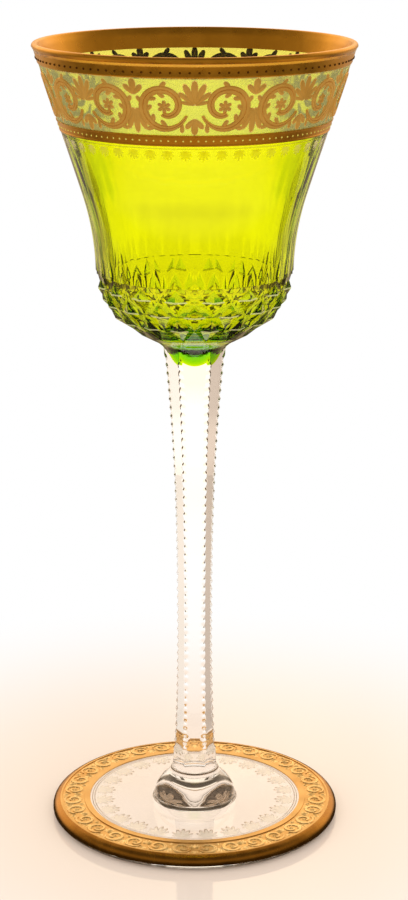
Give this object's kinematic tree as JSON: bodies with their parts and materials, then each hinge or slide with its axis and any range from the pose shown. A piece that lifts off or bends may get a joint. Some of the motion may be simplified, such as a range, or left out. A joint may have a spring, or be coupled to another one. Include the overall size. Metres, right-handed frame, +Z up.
{
  "type": "hock wine glass",
  "caption": "Tall stemmed wine glass with a flared bell bowl cased in clear cut glass over a yellow-green lining, a faceted notched stem, a round foot and gilded borders.",
  "frame": {"origin": "centre of the plane that the foot stands on", "axes": "+Z up along the axis of the glass, -Y toward the viewer of the picture"},
  "size_m": [0.08, 0.08, 0.204],
  "materials": {
    "coloured_glass": "polished yellow-green glass",
    "clear_crystal": "polished clear crystal, cut and etched",
    "gilding": "fired matt and burnished gold"
  },
  "bodies": {
    "root": {"bowl_lining": "coloured_glass", "bowl_casing": "clear_crystal", "stem": "clear_crystal", "merese": "clear_crystal", "foot": "clear_crystal", "rim_gilding": "gilding", "scroll_gilding": "gilding", "band_gilding": "gilding", "foot_gilding": "gilding"}
  },
  "joints": []
}
